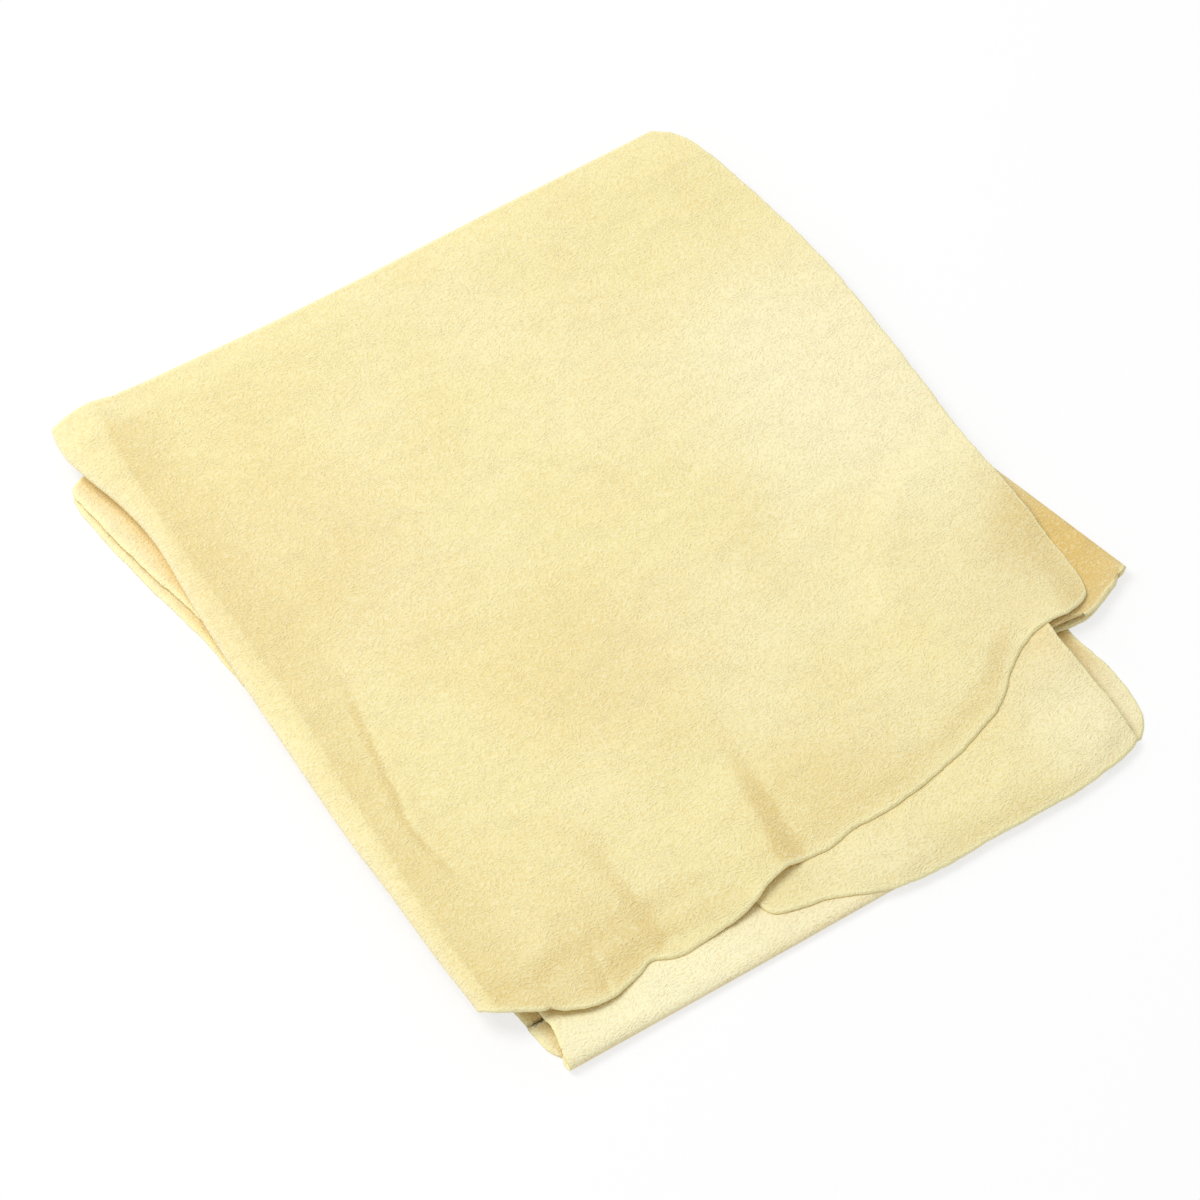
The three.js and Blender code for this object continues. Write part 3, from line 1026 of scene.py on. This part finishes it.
DEEP: Colour = (0.78, 0.57, 0.2)
PALE: Colour = (0.96, 0.88, 0.57)
# Used only for the painted light on the near strip.
PALEST: Colour = (1.0, 0.95, 0.62)
# Painted shade: the leg and the skin beside the top flap's edge lie in the flap's shade.
PAINTED_LEG_SHADE: Colour = (0.77, 0.54, 0.175)
# Painted shade on the top flap's corner over the leg.
PAINTED_CORNER_SHADE: Colour = (0.8, 0.65, 0.31)


@dataclass(frozen=True)
class ChamoisFinish:
    """The napped face of oil tanned chamois leather. Scales are in waves to a metre."""

    name: str = "chamois"
    colour: Colour = (0.905, 0.8, 0.41)
    pale: Colour = PALE
    deep: Colour = DEEP
    paleness: float = 0.0
    patches: tuple[Patch, ...] = ()
    patch_core: float = 0.2
    mottle_scale: float = 11.0
    mottle: float = 0.35
    cloud_scale: float = 30.0
    cloud: float = 0.16
    cloud_relief: float = 0.5
    # Painted light and shade: how much skin leaning away from the lamp is painted deeper, and skin leaning
    # towards it paler.
    painted_shade_lean: float = 0.15
    painted_light_lean: float = 0.2
    # Painted light: share of pale painted on steep faces, which the lamp reaches little.
    upright_painted_light: float = 0.55
    # Painted shade: a warm, deeper colour where ambient occlusion finds the skin hemmed in.
    hollow: Colour = (0.84, 0.57, 0.17)
    painted_shade_reach: float = 0.019
    painted_shade_depth: float = 0.7
    # Cut edges: partly the paler fibres of the cut, partly a painted highlight on rims that face away from
    # the lamp.
    rim: Colour = (0.97, 0.89, 0.5)
    pale_fibres_and_highlight_share: float = 0.8
    speck_colour: Colour = (0.4, 0.26, 0.1)
    speck_scale: float = 38.0
    speck_size: float = 0.035
    speck_rarity: float = 0.88
    swirl_scale: float = 90.0
    swirl: float = 0.008
    stroke_scale: float = 740.0
    stroke_length: float = 1.8
    stroke_angles: tuple[float, float] = (20.0, 112.0)
    stroke_share: float = 0.7
    grain_scale: float = 1300.0
    nap_height: float = 0.0008
    nap_depth: float = 0.3
    nap_paleness: float = 0.45
    nap_gloss: float = 0.08
    # The lamp's way in plan, which the painted light and shade of the lean follow.
    towards_lamp_way: tuple[float, float, float] = (-0.74, 0.67, 0.0)
    roughness: float = 0.93
    specular: float = 0.2
    sheen: float = 0.2
    sheen_roughness: float = 0.6
    sheen_tint: Colour = (1.0, 0.95, 0.8)

    def material(self) -> bpy.types.Material:
        """Makes the leather's material."""
        made = bpy.data.materials.new(self.name)
        shader = Shader(made)
        place = shader.node("ShaderNodeTexCoord", {}, {})[3]
        nap = self._nap(shader, place)
        clouds = shader.noise(place, self.cloud_scale, 3.0)
        base = self._tone(shader, place, clouds)
        base = shader.mix(nap.ramp(0.52, 0.36) * self.nap_depth, base, self.deep)
        base = shader.mix(nap.ramp(0.48, 0.66) * self.nap_paleness, base, self.pale)
        base = shader.mix(self._specks(shader, place), base, self.speck_colour)
        # Cut edges are paler: partly their own pale fibres, partly a painted highlight.
        cut = shader.node("ShaderNodeAttribute", {"attribute_name": Skin.CUT_EDGE}, {})[2]
        base = shader.mix(cut * self.pale_fibres_and_highlight_share, base, self.rim)
        height = nap + clouds * self.cloud_relief
        relief = {"Strength": 1.0, "Distance": self.nap_height, "Height": height}
        values = {
            "Base Color": base,
            "Roughness": self.roughness - self.nap_gloss * nap,
            "Normal": shader.node("ShaderNodeBump", {}, relief)[0],
            "Specular IOR Level": self.specular,
            "Sheen Weight": self.sheen,
            "Sheen Roughness": self.sheen_roughness,
            "Sheen Tint": (*self.sheen_tint, 1.0),
        }
        surface = shader.node("ShaderNodeBsdfPrincipled", {}, values)[0]
        shader.node("ShaderNodeOutputMaterial", {}, {"Surface": surface})
        return made

    def _tone(self, shader: Shader, place: Socket, clouds: Socket) -> Socket:
        """Gives the leather's colour without its nap.

        It is mottled, and of other tones in some patches, some of them painted shade and some painted light.
        As painted light and shade, skin that leans towards the lamp is painted paler and skin that leans away
        from it deeper, steep faces are painted paler, and hollows get a deeper painted shade.

        Args:
            shader: The material's nodes.
            place: Where it is asked for.
            clouds: Soft clouds.

        Returns:
            The colour.
        """
        mottled = shader.noise(place, self.mottle_scale, 2.0).ramp(0.38, 0.66)
        base = shader.mix((mottled * self.mottle + self.paleness).smallest(1.0), self.colour, self.pale)
        base = shader.mix(clouds.ramp(0.45, 0.75) * self.cloud, base, self.deep)
        facing = shader.node("ShaderNodeNewGeometry", {}, {})[1]
        # Painted light and shade: skin leaning away from the lamp is painted deeper, skin leaning towards it
        # paler.
        lean = shader.vector("DOT_PRODUCT", facing, self.towards_lamp_way)
        away_from_lamp = lean.ramp(-0.01, -0.2) * lean.ramp(-0.6, -0.35)
        base = shader.mix(away_from_lamp * self.painted_shade_lean, base, self.deep)
        base = shader.mix(lean.ramp(0.06, 0.4) * self.painted_light_lean, base, self.pale)
        for patch in self.patches:
            away = shader.vector("DISTANCE", place, patch.place)
            inside = away.ramp(patch.reach, self.patch_core * patch.reach)
            base = shader.mix(inside * patch.share, base, patch.colour)
        # Painted light: steep faces are painted paler.
        upward = shader.node("ShaderNodeSeparateXYZ", {}, {0: facing})[2]
        base = shader.mix(upward.ramp(0.9, 0.5) * self.upright_painted_light, base, self.pale)
        # Painted shade: ambient occlusion darkens and warms hollows and the skin beside edges, but not the
        # closed insides.
        reach = {"Distance": self.painted_shade_reach}
        open_share = shader.node("ShaderNodeAmbientOcclusion", {"samples": 4}, reach)[1]
        hollow = open_share.ramp(0.9, 0.4) * open_share.ramp(0.03, 0.2)
        return shader.mix(hollow * self.painted_shade_depth, base, self.hollow)

    def _nap(self, shader: Shader, place: Socket) -> Socket:
        """Gives the short strokes of the nap, which lie this way or that from patch to patch.

        Args:
            shader: The material's nodes.
            place: Where it is asked for.

        Returns:
            A value about a half.
        """
        waves = {"Vector": place, "Scale": self.swirl_scale, "Detail": 1.0}
        swirl = shader.node("ShaderNodeTexNoise", {}, waves)[1]
        shift = {0: swirl, 1: (self.swirl,) * 3, 2: place}
        moved = shader.node("ShaderNodeVectorMath", {"operation": "MULTIPLY_ADD"}, shift)[0]
        fields = []
        for angle in self.stroke_angles:
            turn = (0.0, 0.0, math.radians(angle))
            values = {"Vector": moved, "Rotation": turn, "Scale": (1.0, self.stroke_length, 1.0)}
            turned = shader.node("ShaderNodeMapping", {}, values)[0]
            fields.append(shader.noise(turned, self.stroke_scale, 1.5))
        way = shader.noise(place, self.swirl_scale, 1.0).ramp(0.44, 0.56)
        strokes = fields[0] + (fields[1] - fields[0]) * way
        grain = shader.noise(place, self.grain_scale, 1.0)
        return strokes * self.stroke_share + grain * (1.0 - self.stroke_share)

    def _specks(self, shader: Shader, place: Socket) -> Socket:
        """Gives 1 in a few tiny dark specks."""
        cells = shader.node("ShaderNodeTexVoronoi", {}, {"Vector": place, "Scale": self.speck_scale})
        lone = shader.node("ShaderNodeSeparateColor", {}, {0: cells[1]})[0] > self.speck_rarity
        return cells[0].ramp(self.speck_size, 0.4 * self.speck_size) * lone


def right_of(start: np.ndarray, end: np.ndarray) -> np.ndarray:
    """Gives the way to the right of a line, in plan."""
    way = unit(end - start)
    return np.array([way[1], -way[0]])


@dataclass
class Chamois:
    """The folded skin: five panels and the four folds that join them."""

    lie: Lie
    # The top flap's finish: stronger painted shade where it leans away from the lamp. Its deep patches are
    # painted shade in broad dips and the corner patch is painted shade over the leg; the pale patch makes its
    # right far part paler.
    top_finish: ChamoisFinish = ChamoisFinish(
        painted_shade_lean=0.55,
        patches=(
            Patch((-0.128, -0.115, 0.008), 0.06, 0.18, DEEP),
            Patch((-0.112, 0.062, 0.009), 0.085, 0.32, DEEP),
            Patch((-0.036, -0.034, 0.009), 0.065, 0.3, DEEP),
            Patch((0.018, -0.128, 0.008), 0.05, 0.22, DEEP),
            Patch((0.131, -0.084, 0.007), 0.04, 0.35, PAINTED_CORNER_SHADE),
            Patch((0.12, 0.035, 0.009), 0.095, 0.9, PALE),
        ),
    )
    # Painted shade and light on the third layer: the leg-shade patch darkens it beside the top flap's edge
    # over the hollow, and the pale patch lightens the shading where its right near corner droops.
    middle_finish: ChamoisFinish = ChamoisFinish(
        name="chamois_middle",
        paleness=0.1,
        patches=(
            Patch((0.125, -0.1, 0.006), 0.05, 0.35, PAINTED_LEG_SHADE),
            Patch((0.12, -0.15, 0.006), 0.05, 0.7, PALE),
        ),
    )
    # Painted light and shade on the lower layers: they are painted at their palest, the palest patch lights
    # the near strip in the top flap's shade further, and the leg-shade patch darkens the leg under the top
    # flap's edge.
    lower_finish: ChamoisFinish = ChamoisFinish(
        name="chamois_lower",
        paleness=1.0,
        patches=(
            Patch((0.137, -0.078, 0.006), 0.065, 1.0, PAINTED_LEG_SHADE),
            Patch((-0.095, -0.163, 0.004), 0.075, 0.8, PALEST),
        ),
    )
    slot: str = "chamois"
    fold_run: float = 1.5
    near_depth: float = 6.3
    far_depth: Span = (4.8, 6.3)
    leg_depth: float = 4.8
    leg_run: float = 1.2
    leg_skew: float = 0.33
    leg_skew_end: float = 0.25
    leg_bend_cells: int = 9
    roll_near_skew: float = 0.47
    roll_near_skew_end: float = 0.16
    roll_far_skew: float = 0.1
    roll_far_skew_start: float = 0.88
    roll_tip: float = 0.42
    roll_fullness: tuple[Span, Span] = ((0.5, 0.6), (0.3, 0.55))
    roll_cells: int = 14
    small_bend_share: float = 0.7
    across_lower: int = 150
    across_bottom_free: int = 12
    far_free_lower: int = 36
    far_free_middle: int = 24
    leg_near_cells: int = 32
    leg_end_cells: int = 24
    leg_fold_cells: int = 38
    right_far_cells: int = 100
    along_top: int = 190
    across_top: int = 170
    along_bottom: int = 150
    across_flap: int = 30

    @property
    def far_fold_cells(self) -> int:
        """Cells along the far fold."""
        return self.across_lower - self.far_free_lower

    def build(self) -> list[bpy.types.Object]:
        """Builds every piece and ties each panel to its body; the folds are not tied to one.

        Returns:
            The pieces.
        """
        lines, lie = self.lie.outlines, self.lie
        across_middle = self.far_free_middle + self.far_fold_cells
        along_lower = self.leg_near_cells + self.leg_end_cells + self.leg_fold_cells + self.right_far_cells
        leg_start = self.leg_near_cells + self.leg_end_cells

        bottom_near = row_of(
            (lines.lower_near, self.across_lower), (lines.bottom_near_free, self.across_bottom_free)
        )
        bottom = Grid.stretched(
            bottom_near,
            lines.bottom_right.divided(self.along_bottom),
            lines.bottom_far.divided(len(bottom_near) - 1),
            lines.bottom_left.divided(self.along_bottom),
            lie.bottom,
        )
        lower = Grid.stretched(
            lines.lower_near.divided(self.across_lower),
            row_of(
                (lines.lower_right_near, self.leg_near_cells),
                (lines.lower_leg_end, self.leg_end_cells),
                (lines.leg_fold, self.leg_fold_cells),
                (lines.lower_right_far, self.right_far_cells),
            ),
            row_of((lines.lower_far_free, self.far_free_lower), (lines.far_fold, self.far_fold_cells)),
            lines.lower_left.divided(along_lower),
            lie.lower,
        )
        flap = Grid.stretched(
            lines.flap_near.divided(self.across_flap),
            lines.leg_fold.divided(self.leg_fold_cells),
            lines.flap_far.divided(self.across_flap),
            lines.flap_left.divided(self.leg_fold_cells),
            lie.flap,
        )
        middle = Grid.stretched(
            lines.middle_near.divided(across_middle),
            lines.middle_right.divided(self.along_top),
            row_of((lines.middle_far_free, self.far_free_middle), (lines.far_fold, self.far_fold_cells)),
            lines.middle_left.divided(self.along_top),
            lie.middle,
        )
        top = Grid.stretched(
            lines.top_near.divided(self.across_top),
            lines.top_right.divided(self.along_top),
            lines.top_far.divided(self.across_top),
            lines.top_left.divided(self.along_top),
            lie.top,
        )
        near_fold = self._near_fold()
        far_fold = self._far_fold()
        leg_fold = self._leg_fold()
        left_fold = self._left_fold()
        on_leg = slice(leg_start, leg_start + self.leg_fold_cells + 1)
        on_near = slice(0, self.across_lower + 1)
        on_far_lower = slice(self.far_free_lower, None)
        on_far_middle = slice(self.far_free_middle, None)
        whole = slice(None)
        share_facing(bottom.facing[0, on_near], near_fold.facing[:, 0])
        share_facing(lower.facing[0], near_fold.facing[:, -1])
        share_facing(lower.facing[-1, on_far_lower], far_fold.facing[:, 0])
        share_facing(middle.facing[-1, on_far_middle], far_fold.facing[:, -1])
        share_facing(flap.facing[:, -1], leg_fold.facing[:, 0])
        share_facing(lower.facing[on_leg, -1], leg_fold.facing[:, -1])
        share_facing(middle.facing[:, 0], left_fold.facing[:, 0])
        share_facing(top.facing[:, 0], left_fold.facing[:, -1])

        both = {Side.LEFT: whole, Side.RIGHT: whole}
        top_leather = self.top_finish.material()
        middle_leather = self.middle_finish.material()
        lower_leather = self.lower_finish.material()
        lower_seams = {Side.NEAR: whole, Side.FAR: on_far_lower, Side.RIGHT: on_leg}
        panels = [
            ("bottom", "bottom_panel", bottom, {Side.NEAR: on_near}, lower_leather),
            ("lower", "lower_panel", lower, lower_seams, lower_leather),
            ("leg", "leg_flap", flap, {Side.RIGHT: whole}, lower_leather),
            ("middle", "middle_panel", middle, {Side.LEFT: whole, Side.FAR: on_far_middle}, middle_leather),
            ("top", "top_flap", top, {Side.LEFT: whole}, top_leather),
        ]
        near = Crossing("bottom", "lower", share=self.small_bend_share, from_top=True)
        leg = Crossing("leg", "lower", from_top=True)
        far = Crossing("lower", "middle", share=self.small_bend_share)
        left = Crossing("middle", "top", run_points=self.roll_cells + 1, from_top=True)
        folds = [
            (near, "near_fold", near_fold, lower_leather),
            (leg, "leg_fold", leg_fold, lower_leather),
            (far, "far_fold", far_fold, middle_leather),
            (left, "left_fold", left_fold, top_leather),
        ]
        pieces = []
        for body, node, grid, joined, leather in panels:
            piece = self._piece(node, grid, joined, leather)
            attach(piece, body)
            pieces.append(piece)
        for crossing, node, grid, leather in folds:
            piece = self._piece(node, grid, both, leather)
            crossing.bend(piece, grid, self.lie.skin)
            pieces.append(piece)
        return pieces

    def _near_fold(self) -> Grid:
        """Gives the fold along the near side."""
        seam = self.lie.outlines.lower_near.divided(self.across_lower)
        bend = Bend(self.near_depth, self.fold_run)
        return folded(seam, seam, right_of(seam[0], seam[-1]), bend, self.lie.bottom, self.lie.lower)

    def _far_fold(self) -> Grid:
        """Gives the fold along the far side, which is deeper at its right end."""
        seam = self.lie.outlines.far_fold.divided(self.far_fold_cells)
        left, right = self.far_depth
        depth = left + (right - left) * rise(np.linspace(0.0, 1.0, len(seam)), 0.0, 1.0)
        bend = Bend(depth, self.fold_run)
        return folded(seam, seam, right_of(seam[-1], seam[0]), bend, self.lie.lower, self.lie.middle)

    def _leg_fold(self) -> Grid:
        """Gives the fold at the outer side of the leg."""
        seam = self.lie.outlines.leg_fold.divided(self.leg_fold_cells)
        skew = self.leg_skew * (1.0 - rise(np.linspace(0.0, 1.0, len(seam)), 0.0, self.leg_skew_end))
        bend = Bend(self.leg_depth, self.leg_run, skew, cells=self.leg_bend_cells)
        return folded(seam, seam, right_of(seam[0], seam[-1]), bend, self.lie.flap, self.lie.lower)

    def _left_fold(self) -> Grid:
        """Gives the large soft roll along the left side, from its seams to its ridge and round its side."""
        lines = self.lie.outlines
        lower = lines.middle_left.divided(self.along_top)
        upper = lines.top_left.divided(self.along_top)
        shares = np.linspace(0.0, 1.0, len(upper))
        near_skew = self.roll_near_skew * (1.0 - rise(shares, 0.0, self.roll_near_skew_end))
        bend = Bend(
            depth=upper[:, 0] - lines.roll_side.across_at(upper[:, 1]),
            run=upper[:, 0] - lines.ridge.across_at(upper[:, 1]),
            skew=near_skew + self.roll_far_skew * rise(shares, self.roll_far_skew_start, 1.0),
            tip=self.roll_tip,
            lower=self.roll_fullness[0],
            upper=self.roll_fullness[1],
            cells=self.roll_cells,
            run_cells=self.roll_cells,
        )
        return folded(lower, upper, right_of(lower[-1], lower[0]), bend, self.lie.middle, self.lie.top)

    def _piece(
        self, node: str, grid: Grid, joined: dict[Side, slice], leather: bpy.types.Material
    ) -> bpy.types.Object:
        """Makes one piece of leather, in place of its node.

        Args:
            node: The node that it stands for.
            grid: Its middle surface.
            joined: The stretch of each side that goes on in another piece.
            leather: Its material.

        Returns:
            The piece.
        """
        mesh = Skin(f"{node}_leather", grid, self.lie.skin, joined).mesh()
        mesh.materials.append(leather)
        piece = bpy.data.objects.new(f"{node}_leather", mesh)
        bpy.context.scene.collection.objects.link(piece)
        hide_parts(node)
        return piece


@dataclass(frozen=True)
class Studio:
    """A plain white floor, soft light and the camera."""

    azimuth: float = -30.9
    elevation: float = 55.0
    distance: float = 2.005
    lens: float = 160.0
    target: tuple[float, float, float] = (-16.606, -8.0, 6.0)
    floor_size: float = 12.0
    floor_shade: float = 0.95
    shadow_share: float = 0.3
    sky: float = 0.6
    lamp_power: float = 35.5
    lamp_size: float = 1.5
    lamp_distance: float = 2.4
    lamp_azimuth: float = -140.0
    lamp_elevation: float = 56.0

    @staticmethod
    def _towards(azimuth: float, elevation: float) -> Vector:
        """Gives the direction from the object to something that looks at it."""
        turn, lift = math.radians(azimuth), math.radians(elevation)
        return Vector((math.sin(turn) * math.cos(lift), -math.cos(turn) * math.cos(lift), math.sin(lift)))

    def build(self) -> None:
        """Builds the camera, the light and the floor."""
        scene = bpy.context.scene
        scene.view_settings.view_transform = "Standard"
        centre = Vector(PACKET.to_frame(np.array([self.target]))[0])
        self._camera(centre)
        self._lamp(centre)
        self._world()
        self._floor()

    def _camera(self, centre: Vector) -> None:
        """Sets the camera at the photograph's viewing angle."""
        data = bpy.data.cameras.new("camera")
        data.lens = self.lens
        data.sensor_width = 36.0
        camera = bpy.data.objects.new("camera", data)
        back = self._towards(self.azimuth, self.elevation)
        camera.location = centre + back * self.distance
        camera.rotation_euler = (-back).to_track_quat("-Z", "Y").to_euler()
        bpy.context.scene.collection.objects.link(camera)
        bpy.context.scene.camera = camera

    def _lamp(self, centre: Vector) -> None:
        """Hangs a large soft lamp at the left."""
        data = bpy.data.lights.new("soft_lamp", "AREA")
        data.shape = "DISK"
        data.size = self.lamp_size
        data.energy = self.lamp_power
        lamp = bpy.data.objects.new("soft_lamp", data)
        away = self._towards(self.lamp_azimuth, self.lamp_elevation)
        lamp.location = centre + away * self.lamp_distance
        lamp.rotation_euler = (-away).to_track_quat("-Z", "Y").to_euler()
        bpy.context.scene.collection.objects.link(lamp)

    @staticmethod
    def _seen(shader: Shader) -> Socket:
        """Gives 1 where the camera sees something, straight, in a gloss or through glass."""
        path = shader.node("ShaderNodeLightPath", {}, {})
        ray = {socket.socket.name: socket for socket in path}
        return ray["Is Camera Ray"].largest(ray["Is Glossy Ray"]).largest(ray["Is Transmission Ray"])

    def _world(self) -> None:
        """Fills the room with even light in front of a white background."""
        world = bpy.data.worlds.new("room")
        bpy.context.scene.world = world
        shader = Shader(world)
        strength = self.sky + (1.0 - self.sky) * self._seen(shader)
        values = {"Color": (1.0, 1.0, 1.0, 1.0), "Strength": strength}
        light = shader.node("ShaderNodeBackground", {}, values)[0]
        shader.node("ShaderNodeOutputWorld", {}, {"Surface": light})

    def _floor(self) -> None:
        """Lays the white floor, which keeps a soft shadow."""
        half = self.floor_size / 2
        mesh = bpy.data.meshes.new("floor")
        corners = [(-half, -half, 0.0), (half, -half, 0.0), (half, half, 0.0), (-half, half, 0.0)]
        mesh.from_pydata(corners, [], [(0, 1, 2, 3)])
        material = bpy.data.materials.new("floor")
        shader = Shader(material)
        shade = (self.floor_shade, self.floor_shade, self.floor_shade, 1.0)
        matt = shader.node("ShaderNodeBsdfDiffuse", {}, {"Color": shade})[0]
        white = shader.node("ShaderNodeEmission", {}, {"Color": (1.0, 1.0, 1.0, 1.0), "Strength": 1.0})[0]
        share = self._seen(shader) * (1.0 - self.shadow_share)
        surface = shader.node("ShaderNodeMixShader", {}, {0: share, 1: matt, 2: white})[0]
        shader.node("ShaderNodeOutputMaterial", {}, {"Surface": surface})
        mesh.materials.append(material)
        floor = bpy.data.objects.new("floor", mesh)
        bpy.context.scene.collection.objects.link(floor)


def main() -> None:
    """Builds the folded chamois and its studio."""
    logging.basicConfig(level=logging.INFO, format="%(message)s")
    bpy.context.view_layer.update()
    Studio().build()
    pieces = Chamois(Lie(chamois_outlines())).build()
    LOG.info("%d pieces of leather", len(pieces))


if __name__ == "__main__":
    main()
